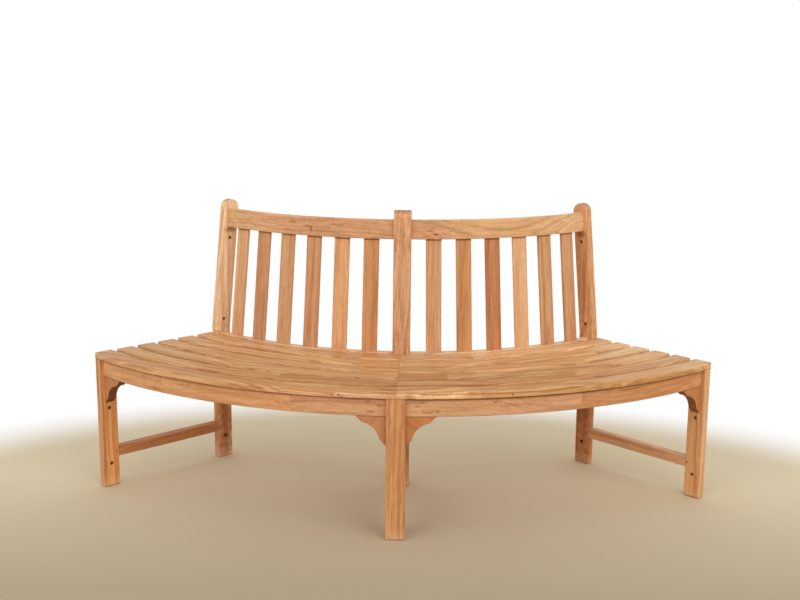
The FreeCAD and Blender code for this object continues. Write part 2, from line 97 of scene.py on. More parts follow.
def add(tree, kind, sockets=None, **settings):
    """Add a shader node with its settings, and feed its sockets."""
    node = tree.nodes.new("ShaderNode" + kind)
    for setting, value in settings.items():
        setattr(node, setting, value)
    feed(node, sockets or {})
    return node


def numbers(tree, operation, *values, clamp=False):
    """Work out a number from up to three others."""
    node = add(tree, "Math", dict(enumerate(values)), operation=operation, use_clamp=clamp)
    return node.outputs["Value"]


def vectors(tree, operation, *values):
    """Work out a vector from up to three others, or a length, or how far two point the same way."""
    node = add(tree, "VectorMath", dict(enumerate(values)), operation=operation)
    return node.outputs["Value" if operation in ("LENGTH", "DOT_PRODUCT") else "Vector"]


def climb(tree, value, low, high, bottom=0.0, top=1.0, smooth=False):
    """A number that goes from bottom to top while the value goes from low to high."""
    sockets = {"Value": value, "From Min": low, "From Max": high, "To Min": bottom, "To Max": top}
    pace = "SMOOTHSTEP" if smooth else "LINEAR"
    return add(tree, "MapRange", sockets, interpolation_type=pace).outputs["Result"]


def mixed(tree, share, first, second, way="MIX"):
    """Mix two colours. A Mix node holds colours in its inputs 6 and 7 and its output 2."""
    sockets = {"Factor": share, 6: first, 7: second}
    return add(tree, "Mix", sockets, data_type="RGBA", blend_type=way).outputs[2]


def white_when_seen(tree, lit, white, share=1.0):
    """Let the camera and reflections see white in place of a lit surface, as far as the share goes."""
    path = add(tree, "LightPath").outputs
    seen = numbers(tree, "ADD", path["Is Camera Ray"], path["Is Glossy Ray"], clamp=True)
    shown = numbers(tree, "MULTIPLY", share, seen)
    return add(tree, "MixShader", {"Fac": shown, 1: lit, 2: white}).outputs["Shader"]


def new_object(name, bm):
    """Make an object of a shape, and let the shape go."""
    mesh = bpy.data.meshes.new(name)
    bm.to_mesh(mesh)
    bm.free()
    made = bpy.data.objects.new(name, mesh)
    bpy.context.scene.collection.objects.link(made)
    return made


# Painted light: the floor's colour runs from darker in front to paler under and behind the bench.
floor_near_color = shade(174, 156, 127)
floor_far_color = shade(216, 198, 164)

bm = bmesh.new()
bmesh.ops.create_circle(bm, cap_ends=True, segments=96, radius=floor_reach)
floor = new_object("floor", bm)

floor_material = bpy.data.materials.new("floor")
floor_material.use_nodes = True
floor.data.materials.append(floor_material)
tree = floor_material.node_tree
place = add(tree, "TexCoord").outputs["Object"]
depth = add(tree, "SeparateXYZ", {"Vector": place}).outputs["Y"]
farness = climb(tree, depth, floor_near_y, floor_far_y)
floor_color = mixed(tree, farness, floor_near_color, floor_far_color)
floor_shader = tree.nodes["Principled BSDF"]
feed(floor_shader, {"Base Color": floor_color, "Roughness": floor_roughness, "Specular IOR Level": 0.2})
spot = add(tree, "Mapping", {"Vector": place, "Location": floor_spot_middle, "Scale": floor_spot_stretch},
           vector_type="TEXTURE").outputs["Vector"]
fade = climb(tree, vectors(tree, "LENGTH", spot), floor_plain_radius, floor_white_radius, smooth=True)
white = add(tree, "Emission").outputs["Emission"]
feed(tree.nodes["Material Output"],
     {"Surface": white_when_seen(tree, floor_shader.outputs["BSDF"], white, fade)})


# Soft studio light: a pale surround that is brightest above and behind the bench, a wide lamp
# to the right of the camera and a weaker one to its left.
surround_color = (0.93, 0.96, 1.0, 1.0)
surround_bright_way = (0.0, 0.45, 0.89)
surround_dimmest = 0.22
surround_brightest = 1.03
surround_dim_until = -0.3
lamp_size = 4.6
lamp_target = Vector((0, 0, 0.45))

world = bpy.data.worlds.new("surround")
bpy.context.scene.world = world
world.use_nodes = True
tree = world.node_tree
surround = tree.nodes["Background"]
heading = add(tree, "TexCoord").outputs["Generated"]
toward_bright = vectors(tree, "DOT_PRODUCT", heading, surround_bright_way)
strength = climb(tree, toward_bright, surround_dim_until, 1.0, surround_dimmest, surround_brightest)
feed(surround, {"Color": surround_color, "Strength": strength})
backdrop = add(tree, "Background", {"Color": (1.0, 1.0, 1.0, 1.0)}).outputs["Background"]
feed(tree.nodes["World Output"],
     {"Surface": white_when_seen(tree, surround.outputs["Background"], backdrop)})
bpy.context.scene.view_settings.view_transform = "Standard"

for lamp_name, lamp_place, lamp_power in (("lamp_right", Vector((3.3, -4.0, 3.0)), 142.0),
                                          ("lamp_left", Vector((-3.3, -4.0, 2.8)), 110.0)):
    lamp_data = bpy.data.lights.new(lamp_name, "AREA")
    lamp_data.size = lamp_size
    lamp_data.energy = lamp_power
    lamp = bpy.data.objects.new(lamp_name, lamp_data)
    lamp.visible_camera = False
    bpy.context.scene.collection.objects.link(lamp)
    aim = (lamp_target - lamp_place).to_track_quat("-Z", "Y").to_matrix().to_4x4()
    lamp.matrix_world = Matrix.Translation(lamp_place) @ aim


# Three front legs of squared teak stand under the front slat's edge, sawn and sanded, with
# mortises for the rails and stretchers. The end ones are half as thick as the centre one, and
# two bolt holes go through each of them, so that benches can be joined into a ring.
outer_radius = 1.360
half_angle = math.radians(45)
ring_axis_y = outer_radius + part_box("front_leg_center")[0].y
slat_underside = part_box("front_leg_center")[1].z
leg_depth = 0.055
leg_width = 0.055
leg_middle = outer_radius - leg_depth / 2
end_leg_width = 0.028
leg_arris = 0.002
foot_chamfer = 0.003
peg_radius = 0.004
peg_bore = peg_radius + 0.0001
peg_hole_rim = 0.0004
peg_inset = 0.007
peg_heights = (0.110, 0.3925)
bolt_radius = 0.005
bolt_rim = 0.0007
front_bolt_heights = (0.075, 0.260)
frame_sides = {"left": -1, "center": 0, "right": 1}
upward = Vector((0, 0, 1))
tan = shade(199, 145, 103)
ochre = shade(199, 141, 91)
straw = shade(217, 168, 121)
front_leg_teak = {"left": tan, "center": ochre, "right": straw}
# Painted light and shade: the left end leg's side faces are painted lighter than its front, the right one's
# darker.
front_leg_side_shading = {"left": (1.30, 1.18, 0.87), "center": None, "right": (0.97, 0.87, 0.77)}
front_leg_contrast = {"left": 1.2, "center": 1.5, "right": 0.8}
bolt_stain = (0.42, 0.30, 0.20)
bolt_stain_reach = 0.060
bolt_stain_width = 0.0085
lathe_steps = 24
rings_per_metre = 140.0
pith_depth = 0.11
pith_swing = 1.3
grain_wander = 0.02
pore_depth = 0.0006
pore_strength = 0.35
wood_gloss = 0.2
crease_angle = math.radians(40)

# A tint is the height where it starts, the height where it is full, its colour and its share.
dusty_foot = (0.04, 0.0, shade(222, 182, 150), 0.45)
end_grain_shows = (0.55, 0.95)
side_shading_shows = (0.85, 0.35)
patch_shows = (1.5, 0.8)
patch_raggedness = 60.0


def stained(tree, color, share, stain):
    """Stain a colour, as far as the share goes. Some stains are painted light and shade."""
    return mixed(tree, share, color, stain + (1.0,), "MULTIPLY")


def wood_grain():
    """Sawn teak as a solid pattern: growth rings, fibres, pores, veins and slow drifts of colour."""
    tree = bpy.data.node_groups.new("teak_grain", "ShaderNodeTree")
    for in_out, kind, labels in (("INPUT", "Vector", ("Vector", "Pith")),
                                 ("INPUT", "Color", ("Base",)),
                                 ("INPUT", "Float", ("Seed", "End", "Contrast", "Veins")),
                                 ("OUTPUT", "Color", ("Color",)),
                                 ("OUTPUT", "Float", ("Roughness", "Height"))):
        for label in labels:
            tree.interface.new_socket(name=label, in_out=in_out, socket_type="NodeSocket" + kind)
    given = tree.nodes.new("NodeGroupInput").outputs
    made = tree.nodes.new("NodeGroupOutput")

    def cloud(vector, along, beside, detail, roughness=0.5):
        stretched = vectors(tree, "MULTIPLY", vector, (along, beside, beside))
        return add(tree, "TexNoise", {"Vector": stretched, "W": given["Seed"], "Scale": 1.0,
                                      "Detail": detail, "Roughness": roughness},
                   noise_dimensions="4D").outputs

    def between(value, low, high):
        return climb(tree, value, low, high, smooth=True)

    # The trunk wasn't quite straight, so the rings sway slowly along a board.
    swayed = given["Vector"]
    for along, beside, reach in ((2.6, 9.0, 0.022), (9.0, 24.0, 0.008)):
        sway = cloud(given["Vector"], along, beside, 2.0)["Color"]
        sway = vectors(tree, "SUBTRACT", sway, (0.5, 0.5, 0.5))
        swayed = vectors(tree, "MULTIPLY_ADD", sway, (0.0, reach, reach), swayed)
    from_pith = vectors(tree, "SUBTRACT", swayed, given["Pith"])
    from_pith = vectors(tree, "MULTIPLY", from_pith, (0.0, 1.0, 1.0))
    ring_place = vectors(tree, "LENGTH", from_pith)
    ring_place = numbers(tree, "MULTIPLY_ADD", ring_place, rings_per_metre, given["Seed"])
    rings = add(tree, "TexNoise", {"W": ring_place, "Scale": 1.0, "Detail": 3.0, "Roughness": 0.6},
                noise_dimensions="1D").outputs["Fac"]
    late_wood = between(rings, 0.44, 0.68)
    fibres = cloud(swayed, 7.0, 250.0, 4.0, 0.6)["Fac"]
    streaks = between(cloud(swayed, 2.4, 80.0, 3.0, 0.6)["Fac"], 0.42, 0.66)
    gleams = between(cloud(swayed, 5.0, 120.0, 2.0)["Fac"], 0.52, 0.68)
    drift = cloud(given["Vector"], 2.6, 14.0, 2.0)
    pores = between(cloud(swayed, 38.0, 900.0, 1.0)["Fac"], 0.58, 0.70)
    vein_line = cloud(swayed, 1.6, 26.0, 2.0)["Fac"]
    vein_gap = numbers(tree, "ABSOLUTE", numbers(tree, "SUBTRACT", vein_line, 0.56))
    veins = numbers(tree, "SUBTRACT", 1.0, between(vein_gap, 0.004, 0.022))

    # Each layer of the colour has its share, a weight for that, and what it does to the wood.
    color = given["Base"]
    for share, weight, stain in (
            (1.0, 1.0, (1.12, 1.14, 1.16)),
            (late_wood, given["Contrast"], (0.78, 0.70, 0.62)),
            (streaks, given["Contrast"], (0.78, 0.70, 0.62)),
            (gleams, given["Contrast"], (1.12, 1.15, 1.18)),
            (between(fibres, 0.3, 0.52), given["Contrast"], (1.14, 1.17, 1.20)),
            (between(fibres, 0.5, 0.75), 1.0, (0.84, 0.78, 0.74)),
            (between(drift["Fac"], 0.45, 0.7), 1.0, (1.04, 0.96, 0.94)),
            (between(drift["Color"], 0.5, 0.75), 1.0, (0.94, 0.99, 0.90)),
            (pores, 0.5, (0.50, 0.40, 0.34)),
            (veins, given["Veins"], (0.55, 0.42, 0.32)),
            (given["End"], 1.0, (0.58, 0.50, 0.42))):
        color = stained(tree, color, numbers(tree, "MULTIPLY", share, weight), stain)

    rough = numbers(tree, "MULTIPLY_ADD", fibres, 0.25, 0.42)
    rough = numbers(tree, "MULTIPLY_ADD", pores, 0.15, rough, clamp=True)
    height = numbers(tree, "SUBTRACT", fibres, pores)
    height = numbers(tree, "MULTIPLY_ADD", late_wood, 0.35, height)
    feed(made, {"Color": color, "Roughness": rough, "Height": height})
    return tree


teak_grain = wood_grain()
chance = random.Random(7)


def tinted(tree, place, color, tint):
    """Shift a colour by height, for real dust and for painted shade: where the tint starts, where it is
    full, its colour and share.
    """
    start, full, tint_color, share = tint
    height = add(tree, "SeparateXYZ", {"Vector": place["Object"]}).outputs["Z"]
    return mixed(tree, climb(tree, height, start, full, top=share), color, tint_color)


def marked(tree, place, tone, face, mark):
    """Stain a ragged patch, which on some pieces is painted light and shade: its place, the way it lies,
    half its length and width, and its stain.
    """
    spot, way, half_length, half_width, stain = mark
    beside = face.cross(way).normalized()
    turn = Matrix((way, beside, way.cross(beside))).transposed().to_euler()
    patch = add(tree, "Mapping", {"Vector": place["Object"], "Location": spot, "Rotation": turn,
                                  "Scale": (half_length, half_width, half_width)}, vector_type="TEXTURE")
    ragged = add(tree, "TexNoise", {"Vector": place["Object"], "Scale": patch_raggedness}).outputs["Fac"]
    reach = numbers(tree, "ADD", vectors(tree, "LENGTH", patch.outputs["Vector"]), ragged)
    return stained(tree, tone, climb(tree, reach, *patch_shows, smooth=True), stain)


def teak(name, tone, middle, along, face, contrast=0.9, veins=0.2, lean=None, marks=(), tint=None,
         edge_stain=None):
    """One board's own wood: its grain runs along it, and its rings curve round a pith outside it.

    A side shading makes the faces that lie square to the board's broad one lighter or darker than it, as
    painted light and shade."""
    material = bpy.data.materials.new(name)
    material.use_nodes = True
    tree = material.node_tree
    along = Vector(along).normalized()
    face = Vector(face).normalized()
    wander = (Matrix.Rotation(chance.uniform(-grain_wander, grain_wander), 3, "Z")
              @ Matrix.Rotation(chance.uniform(-grain_wander, grain_wander), 3, "Y"))
    turn = (Matrix((along, face.cross(along), face)).transposed() @ wander).to_euler()
    seed = chance.uniform(0, 100)
    lean = chance.uniform(-pith_swing, pith_swing) if lean is None else lean
    place = add(tree, "TexCoord").outputs
    board = add(tree, "Mapping", {"Vector": place["Object"], "Location": middle, "Rotation": turn},
                vector_type="TEXTURE").outputs["Vector"]
    end_share = numbers(tree, "ABSOLUTE", vectors(tree, "DOT_PRODUCT", place["Normal"], along))
    for mark in marks:
        tone = marked(tree, place, tone, face, mark)
    grain = add(tree, "Group", {
        "Vector": board, "Pith": (0, pith_depth * math.sin(lean), -pith_depth * math.cos(lean)),
        "Seed": seed, "End": climb(tree, end_share, *end_grain_shows), "Base": tone, "Contrast": contrast,
        "Veins": veins}, node_tree=teak_grain).outputs
    color = grain["Color"]
    if tint:
        color = tinted(tree, place, color, tint)
    # Painted light and shade: the faces square to the broad one get lighter or darker.
    if edge_stain:
        flatness = vectors(tree, "DOT_PRODUCT", place["Normal"], face)
        color = stained(tree, color, climb(tree, flatness, *side_shading_shows), edge_stain)
    bump = add(tree, "Bump", {"Strength": pore_strength, "Distance": pore_depth, "Height": grain["Height"]})
    feed(tree.nodes["Principled BSDF"], {
        "Base Color": color, "Roughness": grain["Roughness"], "Normal": bump.outputs["Normal"],
        "Specular IOR Level": wood_gloss})
    return material


def squared(across, radius, height):
    """A squared timber in its frame's own directions, given as three (low, high) pairs."""
    bm = bmesh.new()
    bmesh.ops.create_cube(bm, size=1.0)
    size = (across[1] - across[0], radius[1] - radius[0], height[1] - height[0])
    bmesh.ops.scale(bm, vec=size, verts=bm.verts)
    bmesh.ops.translate(bm, vec=(sum(across) / 2, -sum(radius) / 2, sum(height) / 2), verts=bm.verts)
    return bm


def ease(bm, edges, width, segments=3):
    """Round the given edges over, as sandpaper does."""
    bmesh.ops.bevel(bm, geom=edges, offset=width, segments=segments, profile=0.5, affect="EDGES",
                    material=-1, clamp_overlap=True)


def edges_along(bm, axis):
    """The edges of a timber that run along X, Y or Z, given as 0, 1 or 2."""
    others = [index for index in range(3) if index != axis]
    return [edge for edge in bm.edges
            if all(abs(edge.verts[0].co[index] - edge.verts[1].co[index]) < 1e-6 for index in others)]


def drawn_out(bm, face, move):
    """Pull a face out by a vector. Gives the corners that moved."""
    grown = bmesh.ops.extrude_face_region(bm, geom=[face])["geom"]
    corners = [part for part in grown if isinstance(part, bmesh.types.BMVert)]
    bmesh.ops.translate(bm, vec=move, verts=corners)
    return corners


def draw_in_foot(bm, chamfer):
    """Take the foot's sharp edge off: its underside goes down and draws in by the same amount."""
    sole = min(bm.faces, key=lambda face: face.calc_center_median().z)
    middle = sole.calc_center_bounds()
    low = drawn_out(bm, sole, (0, 0, -chamfer))
    shrunk = [1 - chamfer / max(v.co[axis] - middle[axis] for v in low) for axis in (0, 1)]
    bmesh.ops.scale(bm, vec=(*shrunk, 1), verts=low, space=Matrix.Translation(-middle))


def stand(bm, angle):
    """Turn a shape about the ring's axis to its frame's angle and put it where the bench stands."""
    bmesh.ops.rotate(bm, matrix=Matrix.Rotation(angle, 3, "Z"), verts=bm.verts)
    bmesh.ops.translate(bm, vec=(0, ring_axis_y, 0), verts=bm.verts)


def turned(profile, start, end):
    """A round solid turned on a lathe from (radius, distance from the start) pairs."""
    bm = bmesh.new()
    chain = [bm.verts.new((radius, 0, distance)) for radius, distance in profile]
    rim = [bm.edges.new(pair) for pair in zip(chain, chain[1:])]
    bmesh.ops.spin(bm, geom=chain + rim, axis=(0, 0, 1), angle=2 * math.pi, steps=lathe_steps,
                   use_merge=True)
    bmesh.ops.remove_doubles(bm, verts=bm.verts, dist=1e-6)
    bmesh.ops.recalc_face_normals(bm, faces=bm.faces)
    aim = (end - start).to_track_quat("Z", "Y").to_matrix().to_4x4()
    bmesh.ops.transform(bm, matrix=Matrix.Translation(start) @ aim, verts=bm.verts)
    return bm


def drill(start, end, radius, rim, through=True):
    """What a drill takes out between two points, with a rubbed rim where it goes in or comes out."""
    run = (end - start).length
    past = 0.001
    flare = radius + rim + past
    profile = [(0, -past), (flare, -past), (radius, rim)]
    way_out = [(radius, run - rim), (flare, run + past), (0, run + past)]
    return turned(profile + (way_out if through else [(radius, run), (0, run)]), start, end)


def joined(shapes):
    """Several shapes as one mesh."""
    mesh = bpy.data.meshes.new("joined")
    whole = bmesh.new()
    for shape in shapes:
        shape.to_mesh(mesh)
        shape.free()
        whole.from_mesh(mesh)
    bpy.data.meshes.remove(mesh)
    return whole


def cut_away(piece, drills):
    """Take the drills' shapes out of a piece."""
    tool = new_object("drills", joined(drills))
    cut = piece.modifiers.new("holes", "BOOLEAN")
    cut.operation = "DIFFERENCE"
    cut.solver = "EXACT"
    cut.object = tool
    result = bpy.data.meshes.new_from_object(piece.evaluated_get(bpy.context.evaluated_depsgraph_get()))
    piece.modifiers.clear()
    piece.data = result
    bpy.data.objects.remove(tool)


def make_piece(bm, node_name, woods, drills=(), piece_name=None):
    """Make a shape a piece that stands for its CAD node: drill it, smooth it and give it its woods."""
    piece = new_object(piece_name or node_name + "_wood", bm)
    for wood in woods:
        piece.data.materials.append(wood)
    if drills:
        cut_away(piece, drills)
    bm = bmesh.new()
    bm.from_mesh(piece.data)
    for face in bm.faces:
        face.smooth = True
    for edge in bm.edges:
        edge.smooth = len(edge.link_faces) == 2 and edge.calc_face_angle(0) < crease_angle
    bm.to_mesh(piece.data)
    bm.free()
    even = piece.modifiers.new("even_shading", "WEIGHTED_NORMAL")
    even.keep_sharp = True
    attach(piece, "root")
    if node_name:
        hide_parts(node_name)


def radial(angle):
    """The direction away from the ring's axis at an angle."""
    return Vector((math.sin(angle), -math.cos(angle), 0))


def tangent(angle):
    """The direction along the ring, to the right, at an angle."""
    return Vector((math.cos(angle), math.sin(angle), 0))


def ring_point(angle, across, radius, height):
    """A point in a frame's own directions, where the bench stands."""
    return Vector((0, ring_axis_y, height)) + radial(angle) * radius + tangent(angle) * across


def frame_across(side):
    """How a frame's timbers lie across it: the end frames lie inside their joining face."""
    if side == 0:
        return (-leg_width / 2, leg_width / 2)
    return (-end_leg_width, 0) if side > 0 else (0, end_leg_width)


def drilled_across(side, radius, height, bore=peg_bore, rim=peg_hole_rim):
    """A hole from face to face of a frame's timber."""
    low, high = [ring_point(side * half_angle, across, radius, height) for across in frame_across(side)]
    return drill(low, high, bore, rim)


def bolt_mark(angle, middle):
    """The dark stain in and round a bolt hole."""
    return (middle, tangent(angle), bolt_stain_reach, bolt_stain_width, bolt_stain)


for place_name, side in frame_sides.items():
    across = frame_across(side)
    angle = side * half_angle
    bm = squared(across, (outer_radius - leg_depth, outer_radius), (foot_chamfer, slat_underside))
    ease(bm, edges_along(bm, 2), leg_arris)
    draw_in_foot(bm, foot_chamfer)
    stand(bm, angle)
    drills = [drilled_across(side, outer_radius - leg_depth + peg_inset, height) for height in peg_heights]
    marks = []
    if side:
        for height in front_bolt_heights:
            drills.append(drilled_across(side, leg_middle, height, bolt_radius, bolt_rim))
            marks.append(bolt_mark(angle, ring_point(angle, sum(across) / 2, leg_middle, height)))
    name = "front_leg_" + place_name
    wood = teak(name, front_leg_teak[place_name],
                ring_point(angle, sum(across) / 2, leg_middle, slat_underside / 2), upward, radial(angle),
                contrast=front_leg_contrast[place_name], marks=marks, tint=dusty_foot,
                edge_stain=front_leg_side_shading[place_name])
    make_piece(bm, name, [wood], drills)


# Three rear legs go on up as the posts of the back. Each is sawn from a wider plank, so that it
# leans back above the seat, and its top is rounded. The end ones have three bolt holes each.
seat_depth = 0.440
seat_height = 0.440
post_front = outer_radius - seat_depth
post_back = post_front - leg_depth
post_middle = (post_front + post_back) / 2
bend_height = 0.455
back_lean = math.radians(6.4)
post_top = 0.8869
crown_round = 0.027
post_arris = 0.003
post_bolt_heights = (0.486, 0.760)
rail_peg_heights = (0.4125, 0.832)
rail_peg_depth = 0.0332
rail_tenon_length = 0.018
blond = shade(238, 197, 155)
honey = shade(205, 153, 110)
amber = shade(215, 158, 109)
post_teak = {"left": blond, "center": honey, "right": amber}
post_grain_lean = {"left": 0.9, "center": 1.1, "right": -0.9}
post_contrast = {"left": 0.8, "center": 1.1, "right": 1.1}
# A painted shadow of the top rail on the end posts' inner faces.
rail_shadow = (0.62, 0.52, 0.45)
# Painted shade darkens the right post's upper inner face.
inner_face_shade = (0.80, 0.73, 0.68)
inner_face_shade_heights = (0.46, 0.86)
inner_face_shade_reach = (0.26, 0.026)

# Each mark on a post: how far across it, its height, half its length and width, and its stain.
# Below the seat the posts are darkened, most of all on their inner faces, as painted shade of the seat;
# just under the top rail the end posts' inner faces carry a painted shadow of the rail.
post_marks = {
    "left": ((0, 0.200, 0.36, 0.12, (0.67, 0.53, 0.41)),
             (end_leg_width, 0.100, 0.30, 0.030, (0.66, 0.52, 0.47)),
             (end_leg_width, 0.792, 0.015, 0.030, rail_shadow)),
    "center": ((0, 0.200, 0.36, 0.12, (0.74, 0.68, 0.62)),
               (0, 0.860, 0.12, 0.09, (1.10, 1.17, 1.22))),
    "right": ((0, 0.200, 0.36, 0.12, (0.82, 0.67, 0.54)),
              (-end_leg_width, 0.100, 0.30, 0.030, (0.69, 0.67, 0.63)),
              (-end_leg_width, 0.240, 0.12, 0.045, (0.70, 0.62, 0.57)),
              (-end_leg_width, 0.792, 0.015, 0.030, rail_shadow))}


def lean_back(bm):
    """Tip a shape inward about the line where the posts bend."""
    bmesh.ops.rotate(bm, cent=(0, -post_front, bend_height), matrix=Matrix.Rotation(-back_lean, 3, "X"),
                     verts=bm.verts)


def leaned(across, radius, height):
    """Where a point of the upright back, in its frame's directions, comes to lie when it leans."""
    foot = Vector((0, -post_front, bend_height))
    return Matrix.Rotation(-back_lean, 3, "X") @ (Vector((across, -radius, height)) - foot) + foot


def back_point(angle, across, radius, height):
    """A point of the leaning back where the bench stands, given where it is on an upright one."""
    return Matrix.Rotation(angle, 3, "Z") @ leaned(across, radius, height) + Vector((0, ring_axis_y, 0))


def post_blank(across):
    """A post as it comes off the saw: its side view, given the thickness of the plank."""
    length = (post_top - bend_height) / math.cos(back_lean)
    length += leg_depth / 2 * math.tan(back_lean)
    back_bend = bend_height - leg_depth * math.tan(back_lean / 2)
    outline = [Vector((0, -post_front, foot_chamfer)), Vector((0, -post_front, bend_height)),
               leaned(0, post_front, bend_height + length), leaned(0, post_back, bend_height + length),
               Vector((0, -post_back, back_bend)), Vector((0, -post_back, foot_chamfer))]
    bm = bmesh.new()
    side_face = bm.faces.new([bm.verts.new(point + Vector((across[0], 0, 0))) for point in outline])
    drawn_out(bm, side_face, (across[1] - across[0], 0, 0))
    bmesh.ops.recalc_face_normals(bm, faces=bm.faces)
    crown = [edge for edge in edges_along(bm, 0) if edge.verts[0].co.z > post_top - leg_depth / 2]
    ease(bm, crown, crown_round, 9)
    return bm


def around_sides(bm):
    """The edges round the two flat side faces of an upright timber, but not those at its foot."""
    def is_side(face):
        return abs(face.normal.x) > 0.99
    return [edge for edge in bm.edges if sum(is_side(face) for face in edge.link_faces) == 1
            and max(v.co.z for v in edge.verts) > 2 * foot_chamfer]


def rail_peg_runs(side):
    """Where a frame's rail pegs start and end, from behind the post into the back rails' tenons."""
    reach = leg_width / 2 - rail_tenon_length / 2
    places = [side * (rail_tenon_length / 2 - end_leg_width)] if side else [-reach, reach]
    return [[point(side * half_angle, across, radius, height)
             for radius in (post_back, post_back + rail_peg_depth)]
            for across in places for point, height in zip((ring_point, back_point), rail_peg_heights)]


for place_name, side in frame_sides.items():
    across = frame_across(side)
    angle = side * half_angle
    bm = post_blank(across)
    ease(bm, around_sides(bm), post_arris)
    draw_in_foot(bm, foot_chamfer)
    stand(bm, angle)
    drills = [drilled_across(side, post_front - peg_inset, height) for height in peg_heights]
    marks = [((back_point if height > bend_height else ring_point)(angle, beside, post_middle, height),
              upward, *rest) for beside, height, *rest in post_marks[place_name]]
    if side:
        height = front_bolt_heights[0]
        drills.append(drilled_across(side, post_middle, height, bolt_radius, bolt_rim))
        marks.append(bolt_mark(angle, ring_point(angle, sum(across) / 2, post_middle, height)))
        for height in post_bolt_heights:
            rise = (height - bend_height) / math.cos(back_lean) + leg_depth / 2 * math.tan(back_lean)
            low, high = [back_point(angle, edge, post_middle, bend_height + rise) for edge in across]
            drills.append(drill(low, high, bolt_radius, bolt_rim))
            marks.append(bolt_mark(angle, (low + high) / 2))
    drills += [drill(low, high, peg_bore, peg_hole_rim, through=False) for low, high in rail_peg_runs(side)]
    # The right post's upper inner face is darkened with painted shade.
    if place_name == "right":
        low, high = [back_point(angle, across[0], post_middle, height) for height in inner_face_shade_heights]
        marks.append(((low + high) / 2, (high - low).normalized(), *inner_face_shade_reach, inner_face_shade))
    name = "back_post_" + place_name
    wood = teak(name, post_teak[place_name], ring_point(angle, sum(across) / 2, post_middle, seat_height),
                upward, radial(angle), contrast=post_contrast[place_name],
                lean=post_grain_lean[place_name], marks=marks, tint=dusty_foot)
    make_piece(bm, name, [wood], drills)


# Each leg and post are joined by a stretcher near the floor and by a rail under the slats, both
# of straight teak, tenoned and pegged. The rails have screw holes bored from below.
stretcher_height = (0.094, 0.126)
stretcher_thickness = 0.028
side_rail_height = (0.365, 0.420)
center_rail_width = 0.045
joint_line = 0.0005
counterbore = 0.005
counterbore_top = 0.400
seat_slat_count = 6
seat_slat_width = 0.060
slat_pitch = (seat_depth - 0.001 - seat_slat_width) / (seat_slat_count - 1)
center_screw_offset = 0.012
umber = shade(181, 120, 76)
stretcher_teak = {"left": umber, "center": tan, "right": honey}


def screw_holes(angle, across):
    """The counterbored holes under every slat but the front one, along a straight rail."""
    holes = []
    for index in range(1, seat_slat_count):
        radius = outer_radius - index * slat_pitch - seat_slat_width / 2
        low, high = [ring_point(angle, across, radius, height)
                     for height in (side_rail_height[0], counterbore_top)]
        holes.append(drill(low, high, counterbore, peg_hole_rim, through=False))
    return holes


def straight_rail(name, tone, angle, middle, thickness, run, height, screws=()):
    """A straight rail with rounded long edges, whose ends leave a fine line at the joint."""
    bm = squared((middle - thickness / 2, middle + thickness / 2), run, height)
    ease(bm, edges_along(bm, 1), leg_arris)
    ends = [edge for edge in bm.edges if sum(abs(face.normal.y) > 0.99 for face in edge.link_faces) == 1]
    ease(bm, ends, joint_line, 1)
    stand(bm, angle)
    wood = teak(name, tone, ring_point(angle, middle, sum(run) / 2, height[0]), radial(angle), upward)
    make_piece(bm, name, [wood], [hole for across in screws for hole in screw_holes(angle, across)])


for place_name, side in frame_sides.items():
    angle = side * half_angle
    middle = sum(frame_across(side)) / 2
    run = (post_front, outer_radius - leg_depth)
    straight_rail("stretcher_" + place_name, stretcher_teak[place_name], angle, middle,
                  stretcher_thickness, run, stretcher_height)
    screws = [middle] if side else [-center_screw_offset, center_screw_offset]
    straight_rail("seat_rail_" + place_name, tan, angle, middle,
                  end_leg_width if side else center_rail_width, run, side_rail_height, screws)


# Teak pegs lock the stretchers and side rails in the legs and posts. They are turned, driven
# right through and sanded flush, so each shows its end grain inside a fine dark line.
peg_color = shade(222, 168, 124)
peg_nose = 0.0004


def peg(low, high, run, radius=peg_radius, nose=peg_nose, through=False, wood_number=0):
    """A turned peg with a rounded nose where it starts, and another where it comes out."""
    profile = [(0, 0), (radius - nose, 0), (radius, nose)]
    profile += [(radius, run - nose), (radius - nose, run)] if through else [(radius, run)]
    bm = turned(profile + [(0, run)], low, high)
    for face in bm.faces:
        face.material_index = wood_number
    return bm


woods = []
shapes = []
for side in frame_sides.values():
    angle = side * half_angle
    across = frame_across(side)
    for radius in (outer_radius - leg_depth + peg_inset, post_front - peg_inset):
        for height in peg_heights:
            low, high = [ring_point(angle, edge, radius, height) for edge in across]
            shapes.append(peg(low, high, across[1] - across[0], through=True, wood_number=len(woods)))
    woods.append(teak("frame_peg_" + str(side + 1), peg_color, ring_point(angle, 0, post_front, 0.1),
                      tangent(angle), upward))
make_piece(joined(shapes), "frame_pegs", woods)


# Two curved aprons run from the centre leg to the end legs under the front slat. Each is glued
# up end to end from straight-grained lengths, sawn to the curve and tenoned into the legs.
apron_radius = (1.322, 1.348)
apron_height = (0.365, 0.417)
apron_brow = 0.006
rail_arris = 0.003
# A thin dark line of painted shade runs along each apron's top, under the front slat's overhang.
shadow_brown = shade(96, 58, 26)
apron_top_shade = {"left": (0.411, 0.415, shadow_brown, 0.25), "right": (0.411, 0.415, shadow_brown, 0.5)}
dark_knot = (0.72, 0.62, 0.50)
pale_knot = (1.14, 1.20, 1.24)

# The glue joints' angles from the centre frame, and the tone of each length between them.
apron_joints = {"left": (13.0, 31.7), "right": (15.5, 23.3)}
apron_teak = {"left": (honey, amber, amber), "right": (honey, honey, ochre)}

